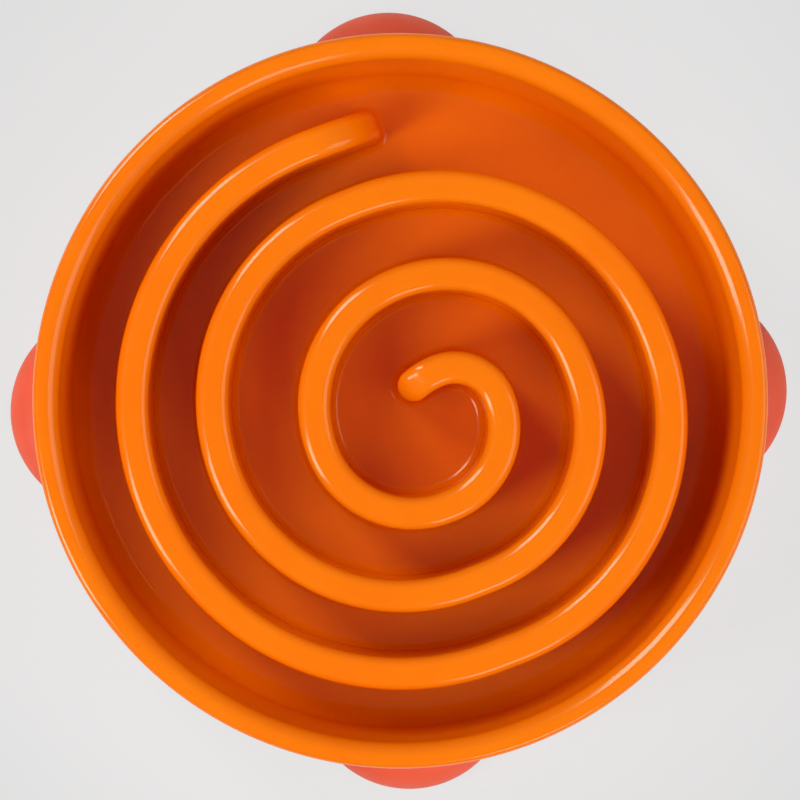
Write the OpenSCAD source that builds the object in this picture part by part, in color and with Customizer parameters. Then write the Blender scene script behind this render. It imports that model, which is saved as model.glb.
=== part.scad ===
// Slow feeder bowl: a round moulded bowl whose hollow spiral ridge slows eating, on four rubber feet.
// Millimetres. +Z is up, the bowl's axis is Z, and the feet stand on Z = 0.

/* [Bowl] */
// Radius of the rim at its outer edge
rim_r = 137; // [136:1:150]
// Height of the rim above the ground
bowl_h = 68; // [64:1:80]
// Width of the rounded rim, from the inner wall to the skirt
rim_w = 9.2; // [9:0.1:12]
// Radius of the rim's outer rounding
rim_outer_round = 2.4; // [2:0.1:3]
// Radius of the rim's inner rounding
rim_inner_round = 5.8; // [4:0.1:6]
// Thickness of the moulded skin
skin = 2.6; // [2:0.1:2.8]
// Lean of the inner wall from upright, in degrees
wall_lean = 3.5; // [2:0.5:6]
// Flare of the skirt from upright, in degrees
skirt_flare = 1.5; // [0.5:0.5:2.5]
// Height of the floor that the food lies on
floor_z = 14; // [13:0.5:18]
// Radius of the hollow corner between the floor and the inner wall
floor_round = 8; // [5:0.5:9]

/* [Spiral ridge] */
// Radius that the spiral's outer turn winds round
spiral_r = 100; // [90:1:101]
// Height of the ridge's top above the ground
ridge_top_z = 58; // [54:1:62]
// Width of the ridge at its top
ridge_w = 11.2; // [10:0.1:13]
// Radius of the ridge's top edges
ridge_round = 3.5; // [2.8:0.1:4.5]
// Lean of the ridge's sides below its shoulders, in degrees
ridge_lean = 1.5; // [0.5:0.5:3]
// Radius of the corner between the ridge and the floor
ridge_foot_round = 3; // [2:0.5:4]
// Radius of the slope that the ridge's outer end runs down
ridge_end_round = 28; // [22:1:30]
// Radius of the slope that the top of the ridge's inner end runs down
nose_round = 14; // [8:1:16]

/* [Feet] */
// Distance that a foot stands out past the rim
foot_reach = 13; // [10:0.5:18]
// Radius of a foot, seen from above
foot_r = 39.5; // [34:0.5:44]
// Thickness of a foot's sole
sole_t = 4; // [3:0.5:5]
// Height of a foot's round shoulder above the ground
shoulder_h = 20; // [17:0.5:26]
// Radius of the rounding on a foot's shoulder
shoulder_round = 13; // [8:0.5:13.5]
// Distance that a sole reaches inwards from the skirt
sole_depth = 30; // [26:1:34]
// Chamfer round the edge of a sole
sole_chamfer = 1; // [0.5:0.1:1.5]
// Height of the heel that grips the skirt from inside
heel_h = 6; // [4:0.5:7]
// Thickness of the heel
heel_t = 3; // [2:0.5:4]
// Angle that the heel spans round the bowl
heel_span = 20; // [12:1:24]
// Play between a foot and the bowl
foot_play = 0.15; // [0.1:0.05:0.3]
// Depth of the tread grooves in a sole
tread_depth = 0.8; // [0.5:0.1:1.2]
// Width of a tread groove
tread_w = 2; // [1:0.5:3]
// Distance between tread grooves
tread_pitch = 7; // [5:0.5:8]

/* [Foot sockets] */
// Outer radius of a socket under the floor
socket_r = 5.5; // [5:0.1:6]
// Radius of a foot's plug
plug_r = 3; // [2.5:0.1:3.4]
// Distance from the inner wall's foot to the sockets' centres
socket_inset = 8; // [7:0.5:9]
// Angle between a foot's middle and each of its sockets
socket_angle = 12; // [9:1:14]

/* [Hidden] */
bowl_colour = "#ff7d00";
foot_colour = "#ee5f48";
arc_fn = 48;
turn_fn = 180;
// Overrun of every cut
over = 1;

// The ridge winds inwards in quarter turns, each after a straight run that may be nought. Rows of
// [run, radius of the bend], from the outer end inwards
wind_shares = [
    [0, 1.03], [0, 1.01], [0.08, 0.9], [0.02, 0.86], [0.05, 0.78], [0, 0.71],
    [0.07, 0.6], [0.03, 0.52], [0, 0.49], [0, 0.36], [0.015, 0.315], [0, 0.175]
];
// Radius of the last, shorter bend, and its angle. Its sine and cosine are both short decimals, which
// lets the inner end meet the bend exactly
last_bend_share = 0.295;
last_turn = asin(0.352);
// How far past the inner end's tip its slope would turn upright, as a share of the slope's radius
nose_past_share = 0.04;
// Where the ridge's flat top starts, and the angle that it runs at there
start_shares = [-0.312, 0.966];
start_heading = 199;
quarter_turn = 90;
// Share of the ridge's corner rounding by which that corner sinks into the floor
foot_sink_share = 0.05;

// Inner wall and skirt
wall_top_r = rim_r - rim_w;
wall_foot_r = wall_top_r - (bowl_h - floor_z) * tan(wall_lean);
underside_z = floor_z - skin;
function skirt_r(z) = rim_r + (bowl_h - z) * tan(skirt_flare);

// Ridge: upright from its top down to its shoulders, leaning outwards below them
shoulder_z = ridge_top_z - ridge_end_round;
function lean_out(z) = max(0, shoulder_z - z) * tan(ridge_lean);
function edge_round(inset) = max(ridge_round - inset, ridge_round / 4);

// Where each row of the ridge's table starts, the first at the origin along +Y
function row_run(i) = wind_shares[i][0] * spiral_r;
function row_r(i) = wind_shares[i][1] * spiral_r;
function turned(v, a) = [v[0] * cos(a) - v[1] * sin(a), v[0] * sin(a) + v[1] * cos(a)];
function row_start(i) = i == 0
    ? [0, 0]
    : row_start(i - 1) + turned([-row_r(i - 1), row_run(i - 1) + row_r(i - 1)], (i - 1) * quarter_turn);
last_bend_r = last_bend_share * spiral_r;

// Feet, each worked out along +X and turned to its place
foot_centre = rim_r + foot_reach - foot_r;
skirt_foot_r = skirt_r(sole_t);
sole_inner_r = skirt_foot_r - sole_depth;
socket_at = wall_foot_r - socket_inset;
// Turns that bring the foot drawn along +X to the right, back, left and front
foot_turns = [0, quarter_turn, 2 * quarter_turn, 3 * quarter_turn];

// Unit vector along v
function unit(v) = v / norm(v);

// Half the angle at a corner between its edges towards a and b
function half_angle(at, a, b) = acos(unit(a - at) * unit(b - at)) / 2;

// Centre of the circle of radius r that touches both edges of a corner
function round_centre(at, a, b, r) = at + unit(unit(a - at) + unit(b - at)) * r / sin(half_angle(at, a, b));

// Point where that circle touches the edge towards a
function round_touch(at, a, b, r) = at + unit(a - at) * r / tan(half_angle(at, a, b));

// What a rounding of radius r takes off an outline's corner, with an overrun past the corner itself
module corner(at, a, b, r) {
    centre = round_centre(at, a, b, r);
    difference() {
        polygon([
            at + unit(at - centre) * over, round_touch(at, a, b, r), centre, round_touch(at, b, a, r)
        ]);
        translate(centre) circle(r, $fn = arc_fn);
    }
}

// Half section of the bowl as if it were solid: inner wall, rim, skirt and floor
module bowl_outside() {
    wall_top = [wall_top_r, bowl_h];
    wall_foot = [wall_foot_r, floor_z];
    rim_edge = [rim_r, bowl_h];
    skirt_foot = [skirt_foot_r, sole_t];
    middle = [0, floor_z];
    floor_centre = round_centre(wall_foot, middle, wall_top, floor_round);
    difference() {
        polygon([
            [0, sole_t], skirt_foot, rim_edge, wall_top,
            round_touch(wall_foot, wall_top, middle, floor_round), floor_centre,
            round_touch(wall_foot, middle, wall_top, floor_round), middle
        ]);
        translate(floor_centre) circle(floor_round, $fn = arc_fn);
        corner(wall_top, wall_foot, rim_edge, rim_inner_round);
        corner(rim_edge, wall_top, skirt_foot, rim_outer_round);
    }
}

// Half section of the hollow under the bowl's skin, which is open below
module bowl_hollow() {
    wall_shift = skin / cos(wall_lean);
    skirt_shift = skin / cos(skirt_flare);
    ceiling_z = bowl_h - skin;
    wall_top = [wall_top_r + wall_shift - skin * tan(wall_lean), ceiling_z];
    wall_foot = [wall_foot_r + wall_shift - skin * tan(wall_lean), underside_z];
    rim_edge = [skirt_r(ceiling_z) - skirt_shift, ceiling_z];
    skirt_foot = [skirt_r(-over) - skirt_shift, -over];
    middle = [0, underside_z];
    under_round = floor_round + skin;
    under_centre = round_centre(wall_foot, middle, wall_top, under_round);
    difference() {
        polygon([
            [0, -over], skirt_foot, rim_edge, wall_top,
            round_touch(wall_foot, wall_top, middle, under_round), under_centre,
            round_touch(wall_foot, middle, wall_top, under_round), middle
        ]);
        translate(under_centre) circle(under_round, $fn = arc_fn);
        corner(wall_top, wall_foot, rim_edge, rim_inner_round - skin);
    }
}

// Section of the ridge above its shoulders, less inset on every side, on a foot given as the points
// of its right half from the lowest up
module ridge_section(inset, foot = []) {
    half = ridge_w / 2 - inset;
    top = ridge_top_z - inset;
    other_foot = [for (i = [len(foot) - 1:-1:0]) [-foot[i][0], foot[i][1]]];
    difference() {
        polygon(concat(
            foot, [[half, shoulder_z], [half, top], [-half, top], [-half, shoulder_z]], other_foot
        ));
        for (side = [-1, 1])
            corner([side * half, top], [side * half, shoulder_z], [0, top], edge_round(inset));
    }
}

// Section of the ridge's outside, with its two rounded corners at the floor
module ridge_outside() {
    sunk_z = floor_z - ridge_foot_round * foot_sink_share;
    shoulder = [ridge_w / 2, shoulder_z];
    at = [ridge_w / 2 + lean_out(sunk_z), sunk_z];
    far = [at[0] + ridge_foot_round, sunk_z];
    centre = round_centre(at, shoulder, far, ridge_foot_round);
    touch = round_touch(at, shoulder, far, ridge_foot_round);
    difference() {
        ridge_section(0, [[centre[0], floor_z - skin / 2], centre, touch]);
        for (side = [-1, 1])
            translate([side * centre[0], centre[1]]) circle(ridge_foot_round, $fn = arc_fn);
    }
}

// Section of the hollow inside the ridge, open through the floor
module ridge_hollow() {
    ridge_section(skin, [[ridge_w / 2 - skin + lean_out(-over), -over]]);
}

// The part of a section on the side where X is positive
module right_half() {
    intersection() {
        children();
        translate([0, -rim_r]) square(2 * rim_r);
    }
}

// Carries a section along a straight run from the origin along +Y
module straight(run) {
    if (run > 0)
        translate([0, run, 0]) rotate([90, 0, 0]) linear_extrude(run) children();
}

// What its slope takes off the ridge's inner end, which is at the origin and points along +Y
module nose_slope(inset) {
    tip = ridge_w / 2 - inset + nose_round * nose_past_share;
    top = ridge_top_z - inset;
    rotate([90, 0, 90]) linear_extrude(2 * ridge_w, center = true)
        corner([tip, top], [0, top], [tip, 0], nose_round - inset);
}

// Carries a section along the last bend, from the origin and +Y towards -X, and round the inner end:
// a quarter turn, less what lies past the end's centre and outside the section turned about it
module inner_end(inset) {
    translate([-last_bend_r, 0]) difference() {
        rotate_extrude(angle = quarter_turn, start = 0, $fn = turn_fn) translate([last_bend_r, 0]) children();
        rotate(last_turn) translate([last_bend_r, 0]) {
            difference() {
                translate([-last_bend_r, 0, -rim_r]) cube(2 * rim_r);
                rotate_extrude($fn = arc_fn) right_half() children();
            }
            nose_slope(inset);
        }
    }
}

// Carries a section along the ridge from its outer end inwards, and round its inner end. The ridge
// starts at the origin and heads along +Y, and its bends turn towards -X.
module winding(inset) {
    rows = len(wind_shares);
    for (i = [0:rows - 1])
        translate(row_start(i)) rotate(i * quarter_turn) {
            straight(row_run(i)) children();
            translate([-row_r(i), row_run(i)])
                rotate_extrude(angle = quarter_turn, start = 0, $fn = turn_fn)
                    translate([row_r(i), 0]) children();
        }
    translate(row_start(rows)) rotate(rows * quarter_turn) inner_end(inset) children();
}

// What lies below the ridge's shoulders
module below_shoulder() {
    intersection() {
        children();
        translate([-rim_r, shoulder_z - 2 * rim_r]) square(2 * rim_r);
    }
}

// The right half of a section, drawn from the centre of a corner of the block under the slope
module corner_half(half, round) {
    right_half() translate([round - half, 0]) below_shoulder() children();
}

// The outer end: the section runs down a quarter turn and then straight down, against +Y
module outer_end(inset) {
    half = ridge_w / 2 - inset;
    slope = ridge_end_round - inset;
    round = edge_round(inset);
    block = slope - round;
    rotate(-quarter_turn) {
        // The slope is the section above the shoulders, turned about a level line across the ridge
        translate([0, 0, shoulder_z]) rotate([-90, -90, 0])
            rotate_extrude(angle = quarter_turn, start = 0, $fn = turn_fn)
                rotate(-quarter_turn) translate([0, -shoulder_z]) ridge_section(inset);
        // Under it lie a run, an end face and the two corners between them
        rotate([90, 0, 90]) linear_extrude(block) below_shoulder() children();
        translate([block, half - round, 0]) rotate([90, 0, 0])
            linear_extrude(2 * (half - round)) corner_half(half, round) children();
        for (side = [-1, 1])
            translate([block, side * (half - round), 0])
                rotate_extrude(angle = quarter_turn, start = side > 0 ? 0 : -quarter_turn, $fn = arc_fn)
                    corner_half(half, round) children();
    }
}

// A section carried along the whole ridge, in its place in the bowl
module ridge(inset) {
    translate(start_shares * spiral_r) rotate(start_heading - quarter_turn) {
        winding(inset) children();
        outer_end(inset) children();
    }
}

// Places copies at the two sockets over each foot, for the foot that points along +X
module at_sockets() {
    for (side = [-1, 1])
        rotate(side * socket_angle) translate([socket_at, 0, 0]) children();
}

// A blind socket that hangs from the floor down to the sole
module socket() {
    difference() {
        translate([0, 0, sole_t]) cylinder(r = socket_r, h = floor_z - skin / 4 - sole_t, $fn = arc_fn);
        translate([0, 0, sole_t - over])
            cylinder(r = plug_r + foot_play, h = underside_z - sole_t + over, $fn = arc_fn);
    }
}

// The moulding: rim, inner wall, skirt, floor and hollow spiral ridge in one skin, with its sockets
module bowl() {
    color(bowl_colour) {
        difference() {
            union() {
                rotate_extrude($fn = turn_fn) bowl_outside();
                ridge(0) ridge_outside();
            }
            rotate_extrude($fn = turn_fn) bowl_hollow();
            ridge(skin) ridge_hollow();
        }
        for (turn = foot_turns) rotate(turn) at_sockets() socket();
    }
}

// Half section of a foot about its own upright axis: sole and round shoulder
module foot_section() {
    edge = [foot_r, shoulder_h];
    difference() {
        polygon([
            [0, 0], [foot_r - sole_chamfer, 0], [foot_r, sole_chamfer], edge, [0, shoulder_h]
        ]);
        corner(edge, [foot_r, 0], [0, shoulder_h], shoulder_round);
    }
}

// Half section of the room that the skirt and all inside it need above the sole
module skirt_room() {
    top_z = shoulder_h + over;
    polygon([
        [0, sole_t], [skirt_r(sole_t) + foot_play, sole_t], [skirt_r(top_z) + foot_play, top_z], [0, top_z]
    ]);
}

// The heel: a low wall that rises from the sole just inside the skirt
module heel() {
    low = sole_t / 2;
    top = sole_t + heel_h;
    inside = skin / cos(skirt_flare) + foot_play;
    rotate_extrude(angle = heel_span, start = -heel_span / 2, $fn = turn_fn)
        polygon([for (p = [[0, low], [0, top], [heel_t, top], [heel_t, low]])
            [skirt_r(p[1]) - inside - p[0], p[1]]]);
}

// A rubber foot along +X: half-moon sole, shoulder outside the skirt, heel inside it, and two plugs
module foot() {
    color(foot_colour) difference() {
        union() {
            difference() {
                translate([foot_centre, 0, 0]) rotate_extrude($fn = turn_fn) foot_section();
                rotate_extrude($fn = turn_fn) skirt_room();
                translate([0, 0, -over]) cylinder(r = sole_inner_r, h = sole_t + 2 * over, $fn = turn_fn);
            }
            heel();
            at_sockets() translate([0, 0, sole_t / 2])
                cylinder(r = plug_r, h = underside_z - foot_play - sole_t / 2, $fn = arc_fn);
        }
        for (r = [sole_inner_r + tread_pitch:tread_pitch:rim_r + foot_reach - tread_pitch])
            rotate_extrude($fn = turn_fn)
                translate([r - tread_w / 2, -over]) square([tread_w, tread_depth + over]);
    }
}

bowl();
rotate(foot_turns[0]) foot();  // foot_right
rotate(foot_turns[1]) foot();  // foot_back
rotate(foot_turns[2]) foot();  // foot_left
rotate(foot_turns[3]) foot();  // foot_front
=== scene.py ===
"""Slow feeder bowl: a glossy moulded bowl with a hollow spiral ridge, on four rubber feet.

The bowl's sizes are in millimetres, and the floor, the lamps and the camera are placed in metres. +Z is
up, the bowl's axis is Z and the feet stand on Z = 0, as in the frame.
"""
import math

import bmesh
import bpy
import numpy as np
from mathutils import Matrix, Vector


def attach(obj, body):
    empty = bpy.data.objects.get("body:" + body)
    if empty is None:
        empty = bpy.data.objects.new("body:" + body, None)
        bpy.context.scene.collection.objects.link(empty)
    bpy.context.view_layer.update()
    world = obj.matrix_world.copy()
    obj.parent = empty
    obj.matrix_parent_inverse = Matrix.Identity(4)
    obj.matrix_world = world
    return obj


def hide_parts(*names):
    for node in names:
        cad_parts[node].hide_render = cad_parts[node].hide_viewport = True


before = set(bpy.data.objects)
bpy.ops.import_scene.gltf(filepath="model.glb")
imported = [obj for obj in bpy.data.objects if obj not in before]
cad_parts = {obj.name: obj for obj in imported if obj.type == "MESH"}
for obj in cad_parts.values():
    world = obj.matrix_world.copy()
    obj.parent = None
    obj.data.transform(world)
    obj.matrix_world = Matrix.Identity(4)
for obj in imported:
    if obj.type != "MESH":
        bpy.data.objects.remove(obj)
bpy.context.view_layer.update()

MM = 0.001

# The bowl's sizes
RIM_R = 137.0
BOWL_H = 68.0
RIM_W = 9.2
RIM_OUTER_ROUND = 2.4
RIM_INNER_ROUND = 5.8
SKIN = 2.6
WALL_LEAN = math.radians(3.5)
SKIRT_FLARE = math.radians(1.5)
FLOOR_Z = 14.0
FLOOR_ROUND = 8.0
SKIRT_FOOT_Z = 4.0
MOULD_EDGE = 0.5        # rounding of the skirt's lower edges
WALL_TOP_R = RIM_R - RIM_W
WALL_FOOT_R = WALL_TOP_R - (BOWL_H - FLOOR_Z) * math.tan(WALL_LEAN)

# The ridge's sizes
SPIRAL_R = 100.0
RIDGE_TOP_Z = 58.0
RIDGE_W = 12.2          # as measured; its solid is 1 mm narrower
RIDGE_ROUND = 3.5
HOLLOW_ROUND_SHARE = 0.25  # least rounding of the hollow's edges, as a share of RIDGE_ROUND
RIDGE_LEAN = math.radians(1.5)
RIDGE_FOOT_ROUND = 3.0
RIDGE_END_ROUND = 28.0
SHOULDER_Z = RIDGE_TOP_Z - RIDGE_END_ROUND  # its sides lean out below this height
NOSE_ROUND = 14.0       # radius of the slope that the top of the inner end runs down
NOSE_PAST_SHARE = 0.04  # how far past the tip that slope would turn upright, as a share of its radius
FLAT_STRIP = 0.6        # flat edge that the floor's own mesh joins on to

# The sockets under the floor that the feet's plugs push into, two over each foot
SOCKET_R = 5.5
SOCKET_BORE_R = 3.15
SOCKET_INSET = 8.0      # from the inner wall's foot
SOCKET_ANGLE = math.radians(12)
SOCKET_EDGE = 0.3       # rounding of its lower edges

# Quarter turns of the ridge from its outer end inwards, each after a straight run: rows of
# [run, radius of the bend] as shares of SPIRAL_R, then the last, shorter bend
WIND_SHARES = [
    [0, 1.03], [0, 1.01], [0.08, 0.9], [0.02, 0.86], [0.05, 0.78], [0, 0.71],
    [0.07, 0.6], [0.03, 0.52], [0, 0.49], [0, 0.36], [0.015, 0.315], [0, 0.175],
]
LAST_BEND_SHARE = 0.295
LAST_TURN = math.asin(0.352)
START_SHARES = (-0.312, 0.966)
START_HEADING = math.radians(199)

# Fineness of the meshes
PATH_STEP = 2.0         # along the ridge
NOSE_STEP = 0.6         # along its last, shorter bend
NOSE_TURN_STEPS = 22    # round the inner end
TURN_STEPS = 384        # round the bowl
ARC_STEPS = 9           # across a quarter of a rounding
LEAST_ARC_STEPS = 3     # across any rounding
SIDE_STEPS = 3          # up the ridge's side above its shoulders
SOCKET_STEPS = 48       # round a socket
SIDE_ROW_SHARE = 0.4    # how far down the ridge's leaning side its middle row of points lies
SOCKET_ROOT_SHARE = 0.75  # how deep in the floor's skin a socket's wall starts

# Tolerances, and the angle above which an edge is shaded as a sharp one
MERGE_DISTANCE = 0.002
SLIVER_LENGTH = 0.001
LEVEL_TOLERANCE = 0.01
SHARP_ANGLE = math.radians(38)


def heading(angle):
    """Unit vectors that point at the given angles: (cos, sin)."""
    return np.stack([np.cos(angle), np.sin(angle)], -1)


def rounded(corners):
    """Outline through corners given as (x, y, radius), with each corner of radius r replaced by the
    arc that touches both edges: its centre lies at r / sin(half angle) along the corner's bisector,
    and it touches the edges at r / tan(half angle) from the corner."""
    out = []
    for i, (x, y, r) in enumerate(corners):
        at = np.array([x, y])
        if r == 0:
            out.append(at[None])
            continue
        a, b = (np.array(corners[j][:2]) - at for j in (i - 1, i + 1))
        a, b = a / np.linalg.norm(a), b / np.linalg.norm(b)
        half = math.acos(np.clip(a @ b, -1, 1)) / 2
        centre = at + (a + b) / np.linalg.norm(a + b) * r / math.sin(half)
        first, last = (at + e * r / math.tan(half) - centre for e in (a, b))
        start = math.atan2(first[1], first[0])
        turn = math.remainder(math.atan2(last[1], last[0]) - start, 2 * math.pi)
        steps = max(LEAST_ARC_STEPS, round(abs(turn) / (math.pi / 2) * ARC_STEPS))
        out.append(centre + r * heading(start + turn * np.linspace(0, 1, steps + 1)))
    return np.concatenate(out)


def ridge_line():
    """Points and headings along the ridge: a straight run keeps its heading, and a bend of radius r
    turns left, its point at the centre plus r times the heading turned right."""
    point, angle = np.array(START_SHARES) * SPIRAL_R, START_HEADING
    points, angles = [point[None]], [np.array([angle])]
    rows = [[*row, math.pi / 2] for row in WIND_SHARES] + [[0, LAST_BEND_SHARE, LAST_TURN]]
    for run, radius, bend in rows:
        step = PATH_STEP if bend > LAST_TURN else NOSE_STEP
        if run:
            along = np.linspace(0, run * SPIRAL_R, 1 + math.ceil(run * SPIRAL_R / PATH_STEP))[1:]
            points.append(point + along[:, None] * heading(angle))
            angles.append(np.full(len(along), angle))
            point = points[-1][-1]
        r = radius * SPIRAL_R
        turn = np.linspace(0, bend, 1 + math.ceil(r * bend / step))[1:]
        centre = point + r * heading(angle + math.pi / 2)
        points.append(centre + r * heading(angle - math.pi / 2 + turn))
        angles.append(angle + turn)
        point, angle = points[-1][-1], angle + bend
    return np.concatenate(points), np.concatenate(angles)


def lean_out(z):
    """How far the ridge's side stands out at height z, below its shoulders."""
    return max(0, SHOULDER_Z - z) * math.tan(RIDGE_LEAN)


def upper_section(inset):
    """The ridge's section above its shoulders, from the right shoulder over the top to the left one:
    rows of (across, height above the shoulders) and their outward normals."""
    half = RIDGE_W / 2 - inset
    height = RIDGE_END_ROUND - inset
    edge = max(RIDGE_ROUND - inset, RIDGE_ROUND * HOLLOW_ROUND_SHARE)
    side = np.linspace(0, height - edge, SIDE_STEPS + 1)[:-1, None] * [0, 1] + [half, 0]
    angle = np.linspace(0, math.pi / 2, ARC_STEPS + 1)
    arc = [half - edge, height - edge] + edge * heading(angle)
    top = np.array([[(half - edge) / 2, height], [0, height]])
    right = np.concatenate([side, arc, top])
    normal = np.concatenate([
        np.tile([1.0, 0.0], (len(side), 1)), heading(angle), np.tile([0.0, 1.0], (len(top), 1)),
    ])
    mirror = [-1, 1]
    return (np.concatenate([right, right[-2::-1] * mirror]),
            np.concatenate([normal, normal[-2::-1] * mirror]))


def outer_foot():
    """The ridge's outside below its shoulders: rows of (distance out from the shoulder, height), down
    the leaning side, round the corner at the floor and out on a flat strip."""
    foot = lean_out(FLOOR_Z)
    reach = RIDGE_FOOT_ROUND / math.tan(math.pi / 4 + RIDGE_LEAN / 2)
    middle = SHOULDER_Z - SIDE_ROW_SHARE * (SHOULDER_Z - FLOOR_Z)
    return rounded([(0, SHOULDER_Z, 0), (foot * SIDE_ROW_SHARE, middle, 0),
                    (foot, FLOOR_Z, RIDGE_FOOT_ROUND), (foot + reach + FLAT_STRIP, FLOOR_Z, 0)])


def inner_foot():
    """The hollow's side below the shoulders, down to the floor's underside."""
    low = FLOOR_Z - SKIN
    return np.array([[0, SHOULDER_Z], [lean_out(low), low]])


def sloped_nose(plan, height, tip, ahead, near=1):
    """Heights, lowered at the ridge's inner end: its top sinks by r - sqrt(r^2 - d^2), where d is the
    distance past the slope's start, and the sides between top and shoulders sink in proportion. Where
    near is 0, nothing sinks."""
    r = NOSE_ROUND
    past = np.clip(((plan - tip) @ ahead + r * (1 - NOSE_PAST_SHARE) - RIDGE_W / 2) * near, 0, r)
    share = np.clip((height - SHOULDER_Z) / RIDGE_END_ROUND, 0, 1)
    return height - (r - np.sqrt(r * r - past * past))[..., None] * share


def raised(plan, height):
    """A grid of points (x, y, z) from points (x, y) and heights, which may be those of one row."""
    return np.concatenate([plan, np.broadcast_to(height, (*plan.shape[:2], 1))], -1)


class Shell:
    """Vertices and faces of one closed mesh, gathered from grids of points."""

    def __init__(self):
        self.points, self.faces, self.count = [], [], 0

    def grid(self, xyz, closed=False):
        """Adds a grid of shape (rows, columns, 3), in millimetres. closed joins its last row to its
        first."""
        rows, columns = xyz.shape[:2]
        index = np.arange(rows * columns).reshape(rows, columns) + self.count
        if closed:
            index = np.concatenate([index, index[:1]])
        quads = np.stack([index[:-1, :-1], index[1:, :-1], index[1:, 1:], index[:-1, 1:]], -1)
        self.points.append(xyz.reshape(-1, 3) * MM)
        self.faces.append(quads.reshape(-1, 4))
        self.count += rows * columns

    def mesh(self, name, flat_levels=()):
        """The mesh object: grids merged where they meet, and the open rings at each of flat_levels
        filled with flat faces."""
        mesh = bpy.data.meshes.new(name)
        mesh.from_pydata(np.concatenate(self.points), [], np.concatenate(self.faces))
        work = bmesh.new()
        work.from_mesh(mesh)
        bmesh.ops.remove_doubles(work, verts=work.verts, dist=MERGE_DISTANCE * MM)
        bmesh.ops.dissolve_degenerate(work, edges=work.edges, dist=SLIVER_LENGTH * MM)
        for level in flat_levels:
            ring = [e for e in work.edges if e.is_boundary
                    and all(abs(v.co.z - level * MM) < LEVEL_TOLERANCE * MM for v in e.verts)]
            bmesh.ops.triangle_fill(work, edges=ring, use_beauty=True, normal=Vector((0, 0, 1)))
        bmesh.ops.recalc_face_normals(work, faces=work.faces)
        work.to_mesh(mesh)
        work.free()
        mesh.shade_smooth()
        mesh.set_sharp_from_angle(angle=SHARP_ANGLE)
        piece = bpy.data.objects.new(name, mesh)
        bpy.context.scene.collection.objects.link(piece)
        return piece


def add_ridge(shell, inset, foot):
    """Adds one skin of the ridge. Its section is carried along the ridge line, turned about an upright
    axis at the inner end, and turned down about a level axis at the outer end, where the foot then
    follows the outline that the section draws on the level plane of the shoulders."""
    upper, normal = upper_section(inset)
    half = RIDGE_W / 2 - inset
    right_foot = foot[::-1] + [half, 0]
    left_foot = foot * [-1, 1] - [half, 0]
    section = np.concatenate([right_foot[:-1], upper + [0, SHOULDER_Z], left_foot[1:]])

    points, angles = ridge_line()
    right = heading(angles - math.pi / 2)
    tip, onward = points[-1], heading(angles[-1])
    plan = points[:, None] + section[None, :, :1] * right[:, None]
    near = np.linalg.norm(points - tip, axis=1) < NOSE_ROUND
    shell.grid(raised(plan, sloped_nose(plan, section[None, :, 1:], tip, onward, near[:, None])))

    nose = section[:len(section) // 2 + 1]
    turn = np.linspace(0, math.pi, NOSE_TURN_STEPS + 1)
    out = heading(angles[-1] - math.pi / 2 + turn)
    plan = tip + nose[None, :, :1] * out[:, None]
    shell.grid(raised(plan, sloped_nose(plan, nose[None, :, 1:], tip, onward)))

    ahead, across = -heading(angles[0]), right[0]
    turn = np.linspace(0, math.pi / 2, 2 * ARC_STEPS + 1)[:, None, None]
    plan = points[0] + upper[None, :, 1:] * np.sin(turn) * ahead + upper[None, :, :1] * across
    shell.grid(raised(plan, SHOULDER_Z + upper[None, :, 1:] * np.cos(turn)))

    outline = points[0] + upper[:, 1:] * ahead + upper[:, :1] * across
    outward = normal[:, 1:] * ahead + normal[:, :1] * across
    shell.grid(raised(outline[:, None] + foot[None, :, :1] * outward[:, None], foot[None, :, 1:]))


def bowl_profile():
    """Half section of the bowl's skin, from the floor's edge up the inner wall, over the rim, down the
    skirt and back on the underside: rows of (radius, height)."""
    skirt_foot = RIM_R + (BOWL_H - SKIRT_FOOT_Z) * math.tan(SKIRT_FLARE)
    underside, ceiling = FLOOR_Z - SKIN, BOWL_H - SKIN
    wall_out = SKIN / math.cos(WALL_LEAN) - SKIN * math.tan(WALL_LEAN)
    skirt_in = SKIN / math.cos(SKIRT_FLARE)
    reach = FLOOR_ROUND / math.tan((math.pi / 2 + WALL_LEAN) / 2)
    edge = WALL_FOOT_R - reach - FLAT_STRIP
    return rounded([
        (edge, FLOOR_Z, 0), (WALL_FOOT_R, FLOOR_Z, FLOOR_ROUND), (WALL_TOP_R, BOWL_H, RIM_INNER_ROUND),
        (RIM_R, BOWL_H, RIM_OUTER_ROUND), (skirt_foot, SKIRT_FOOT_Z, MOULD_EDGE),
        (skirt_foot - skirt_in, SKIRT_FOOT_Z, MOULD_EDGE),
        (RIM_R + SKIN * math.tan(SKIRT_FLARE) - skirt_in, ceiling, MOULD_EDGE),
        (WALL_TOP_R + wall_out, ceiling, RIM_INNER_ROUND - SKIN),
        (WALL_FOOT_R + wall_out, underside, FLOOR_ROUND + SKIN), (edge, underside, 0),
    ])


def add_sockets(shell):
    """Adds the sockets as rings that hang from inside the floor's skin: a rounded outline of wall,
    turned about each socket's axis."""
    top = FLOOR_Z - SKIN * SOCKET_ROOT_SHARE
    ring = rounded([
        (SOCKET_R, top, 0), (SOCKET_R, SKIRT_FOOT_Z, SOCKET_EDGE),
        (SOCKET_BORE_R, SKIRT_FOOT_Z, SOCKET_EDGE), (SOCKET_BORE_R, top, 0), (SOCKET_R, top, 0),
    ])
    turn = np.linspace(0, 2 * math.pi, SOCKET_STEPS, endpoint=False)
    for quarter in range(4):
        for side in (-1, 1):
            at = (WALL_FOOT_R - SOCKET_INSET) * heading(quarter * math.pi / 2 + side * SOCKET_ANGLE)
            plan = at + ring[None, :, :1] * heading(turn)[:, None]
            shell.grid(raised(plan, ring[None, :, 1:]), closed=True)


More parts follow.
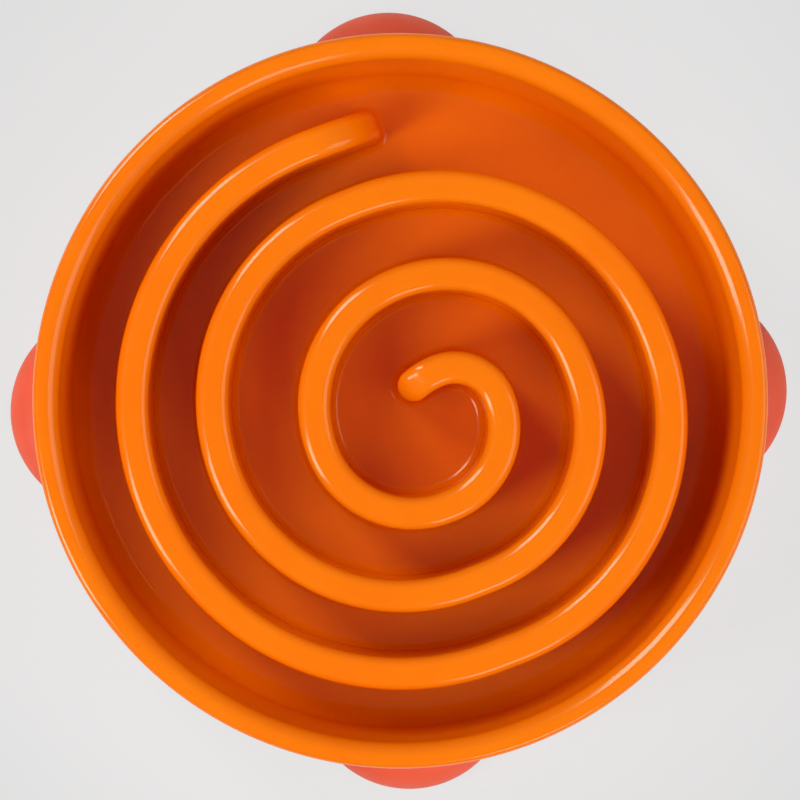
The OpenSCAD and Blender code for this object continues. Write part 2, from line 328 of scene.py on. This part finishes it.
def bowl():
    """The moulding: its revolved skin, both skins of the ridge, the flat floor between them and the
    sockets under it."""
    shell = Shell()
    profile = bowl_profile()
    turn = np.linspace(0, 2 * math.pi, TURN_STEPS, endpoint=False)
    plan = profile[None, :, :1] * heading(turn)[:, None]
    shell.grid(raised(plan, profile[None, :, 1:]), closed=True)
    add_ridge(shell, 0, outer_foot())
    add_ridge(shell, SKIN, inner_foot())
    add_sockets(shell)
    return shell.mesh("bowl_moulding", (FLOOR_Z, FLOOR_Z - SKIN))


# The inputs and the output that a Mix node uses for colours: factor, both colours, and the result
MIX_INPUTS = 0, 6, 7
MIX_RESULT = 2


class Graph:
    """One material's nodes."""

    def __init__(self, name):
        self.material = bpy.data.materials.new(name)
        self.material.use_nodes = True
        self.tree = self.material.node_tree
        self.tree.nodes.clear()
        self.space = self.add("ShaderNodeTexCoord").outputs["Object"]

    def add(self, kind, settings=None, **sockets):
        """Adds a node of any kind. Its settings are set first, and then its sockets, each to a number
        or colour or from a link."""
        node = self.tree.nodes.new(kind)
        for key, value in (settings or {}).items():
            setattr(node, key, value)
        for key, value in sockets.items():
            socket = node.inputs[key.replace("_", " ")]
            if isinstance(value, Value):
                value = value.socket
            if isinstance(value, bpy.types.NodeSocket):
                self.tree.links.new(value, socket)
            else:
                socket.default_value = value
        return node

    def noise(self, scale, detail, roughness=0.5):
        """Noise from 0 to 1 over the piece; scale counts its lumps in a metre."""
        node = self.add("ShaderNodeTexNoise",
                        Vector=self.space, Scale=scale, Detail=detail, Roughness=roughness)
        return Value(self, node.outputs["Fac"])

    def mix(self, amount, a, b):
        """Colour a where amount is 0, b where it is 1."""
        node = self.add("ShaderNodeMix", {"data_type": "RGBA"})
        for index, value in zip(MIX_INPUTS, (amount, a, b)):
            if isinstance(value, Value):
                value = value.socket
            if isinstance(value, bpy.types.NodeSocket):
                self.tree.links.new(value, node.inputs[index])
            else:
                node.inputs[index].default_value = value
        return node.outputs[MIX_RESULT]

    def surface(self, height, height_mm, **sockets):
        """Ends the material in a Principled shader whose bump is height, from 0 to 1, of height_mm."""
        bump = self.add("ShaderNodeBump", Height=height, Strength=1.0, Distance=height_mm * MM)
        shader = self.add("ShaderNodeBsdfPrincipled", Normal=bump.outputs["Normal"], **sockets)
        output = self.add("ShaderNodeOutputMaterial")
        self.tree.links.new(shader.outputs["BSDF"], output.inputs["Surface"])
        return self.material


class Value:
    """A number that varies over a surface: + and * on it add Math nodes."""

    def __init__(self, graph, socket):
        self.graph, self.socket = graph, socket

    def _math(self, operation, a, b):
        node = self.graph.add("ShaderNodeMath", {"operation": operation})
        for index, value in enumerate((a, b)):
            if isinstance(value, Value):
                self.graph.tree.links.new(value.socket, node.inputs[index])
            else:
                node.inputs[index].default_value = value
        return Value(self.graph, node.outputs[0])

    def __add__(self, other):
        return self._math("ADD", self, other)

    def __radd__(self, other):
        return self._math("ADD", other, self)

    def __mul__(self, other):
        return self._math("MULTIPLY", self, other)

    def __rmul__(self, other):
        return self._math("MULTIPLY", other, self)

    def sharpened(self, low, high):
        """0 below low, 1 above high, smooth between."""
        node = self.graph.add("ShaderNodeMapRange", {"interpolation_type": "SMOOTHSTEP"},
                              Value=self, From_Min=low, From_Max=high)
        return Value(self.graph, node.outputs["Result"])


# Colours, each as the two ends between which it drifts over a piece, and the part of the noise's range
# that takes it from one end to the other
PLASTIC_ORANGE = (0.84, 0.159, 0.0003, 1), (0.86, 0.178, 0.0006, 1)
RUBBER_CORAL = (0.76, 0.083, 0.030, 1), (0.80, 0.095, 0.036, 1)
CLOUD_EDGES = 0.35, 0.65

# Tint of the light that the plastic mirrors
WARM_GLOSS = (1.0, 0.95, 0.76, 1)


def bowl_plastic():
    """Glossy moulded plastic: slow changes of tint, a faint unevenness from the mould, a fine grain
    and light rubbing that dulls it in streaks."""
    g = Graph("bowl_plastic")
    clouds = g.noise(9, detail=2)
    waves = g.noise(70, detail=2)
    grain = g.noise(1600, detail=3)
    rubbed = g.noise(42, detail=5, roughness=0.62).sharpened(0.52, 0.74)
    tint = g.mix((clouds * 0.7 + waves * 0.3).sharpened(*CLOUD_EDGES), *PLASTIC_ORANGE)
    return g.surface(waves * 0.8 + grain * 0.06, height_mm=0.05, Base_Color=tint,
                     Roughness=0.11 + 0.08 * rubbed + 0.04 * grain, Specular_IOR_Level=0.5,
                     Specular_Tint=WARM_GLOSS)


def foot_rubber():
    """Satin rubber with a fine grain and slight clouding."""
    g = Graph("foot_rubber")
    clouds = g.noise(35, detail=3)
    grain = g.noise(2600, detail=4, roughness=0.6)
    tint = g.mix(clouds.sharpened(*CLOUD_EDGES), *RUBBER_CORAL)
    return g.surface(grain * 0.6 + clouds * 0.4, height_mm=0.06, Base_Color=tint,
                     Roughness=0.46 + 0.12 * grain, Specular_IOR_Level=0.45)


# The floor: its size, its grey, and the glow that the camera sees it with, which fades outwards between
# two distances from the bowl's axis
FLOOR_SIZE = 8
FLOOR_GREY = (0.8, 0.8, 0.8, 1)
GLOW_NEAR = (0.79, 0.79, 0.79, 1)
GLOW_FAR = (0.68, 0.68, 0.68, 1)
GLOW_FADES = 0.13, 0.27
GLOW_SHARE = 0.85


def pale_floor():
    """A matt pale floor. The camera sees it mostly as a glow, over which the shadows stay faint."""
    g = Graph("pale_floor")
    matt = g.add("ShaderNodeBsdfDiffuse", Color=FLOOR_GREY)
    length = g.add("ShaderNodeVectorMath", {"operation": "LENGTH"}, Vector=g.space)
    outward = Value(g, length.outputs["Value"])
    fade = g.mix(outward.sharpened(*GLOW_FADES), GLOW_NEAR, GLOW_FAR)
    glow = g.add("ShaderNodeEmission", Color=fade)
    seen = Value(g, g.add("ShaderNodeLightPath").outputs["Is Camera Ray"]) * GLOW_SHARE
    mixed = g.add("ShaderNodeMixShader")
    for index, link in enumerate((seen.socket, matt.outputs[0], glow.outputs[0])):
        g.tree.links.new(link, mixed.inputs[index])
    output = g.add("ShaderNodeOutputMaterial")
    g.tree.links.new(mixed.outputs[0], output.inputs["Surface"])
    return g.material


def clad(piece, material):
    """Gives a piece that one material."""
    piece.data.materials.clear()
    piece.data.materials.append(material)


SKY_GREY = (0.15, 0.15, 0.15, 1)
# Lamps: name, azimuth and elevation in degrees, radiance, width, height, and whether gloss mirrors it,
# all at one distance from the middle of the floor
LAMP_DISTANCE = 1.6
LAMPS = [
    ("lamp_back_left", 133, 43, 8.4, 0.42, 1.0, True),
    ("lamp_left", 203, 43, 8.0, 0.42, 1.0, True),
    ("lamp_front", 290, 38, 3.6, 0.45, 0.6, True),
    ("lamp_front_right", 318, 32, 2.0, 1.2, 0.9, False),
    ("lamp_right", 352, 38, 1.6, 1.1, 1.1, True),
    ("lamp_high_left", 180, 60, 1.9, 0.6, 0.6, False),
    ("lamp_high_right", 330, 60, 1.9, 0.8, 0.6, False),
]


def floor_and_light():
    """A plain pale floor, an even sky and soft lamps to the sides."""
    bpy.ops.mesh.primitive_plane_add(size=FLOOR_SIZE)
    floor = bpy.context.object
    floor.name = "floor"
    clad(floor, pale_floor())
    world = bpy.data.worlds.new("even_sky")
    bpy.context.scene.world = world
    world.use_nodes = True
    world.node_tree.nodes["Background"].inputs["Color"].default_value = SKY_GREY
    for name, azimuth, elevation, radiance, width, height, mirrored in LAMPS:
        lamp = bpy.data.lights.new(name, "AREA")
        lamp.shape = "RECTANGLE"
        lamp.size, lamp.size_y = width, height
        lamp.energy = radiance * width * height * math.pi
        place = bpy.data.objects.new(name, lamp)
        place.visible_glossy = mirrored
        bpy.context.scene.collection.objects.link(place)
        a, e = math.radians(azimuth), math.radians(elevation)
        away = Vector((math.cos(a) * math.cos(e), math.sin(a) * math.cos(e), math.sin(e)))
        place.location = away * LAMP_DISTANCE
        place.rotation_euler = away.to_track_quat("Z", "Y").to_euler()


# The camera looks down from above the bowl, a little to the left of its axis, and rolled
CAMERA_HEIGHT = 1.65
CAMERA_LEFT = 0.016
CAMERA_ROLL = math.radians(2.08)
FOCAL_PIXELS = 4252
PICTURE_PIXELS = 800
SENSOR_WIDTH = 36       # in millimetres
AIM = Vector((-0.0002, 0.0003, 0.068))


def camera():
    """The camera, aimed at the middle of the rim. Its roll shows the bowl turned counterclockwise."""
    data = bpy.data.cameras.new("camera")
    data.sensor_width = SENSOR_WIDTH
    data.lens = FOCAL_PIXELS / PICTURE_PIXELS * data.sensor_width
    view = bpy.data.objects.new("camera", data)
    view.location = AIM + Vector((-CAMERA_LEFT, 0, CAMERA_HEIGHT - AIM.z))
    tilt = -math.atan2(CAMERA_LEFT, CAMERA_HEIGHT - AIM.z)
    turned = Matrix.Rotation(tilt, 3, "Y") @ Matrix.Rotation(-CAMERA_ROLL, 3, "Z")
    view.rotation_euler = turned.to_euler()
    bpy.context.scene.collection.objects.link(view)
    bpy.context.scene.camera = view


moulding = bowl()
clad(moulding, bowl_plastic())
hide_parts("bowl")
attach(moulding, "root")
rubber = foot_rubber()
for side in ("right", "back", "left", "front"):
    clad(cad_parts["foot_" + side], rubber)
floor_and_light()
camera()
bpy.context.scene.view_settings.view_transform = "Standard"
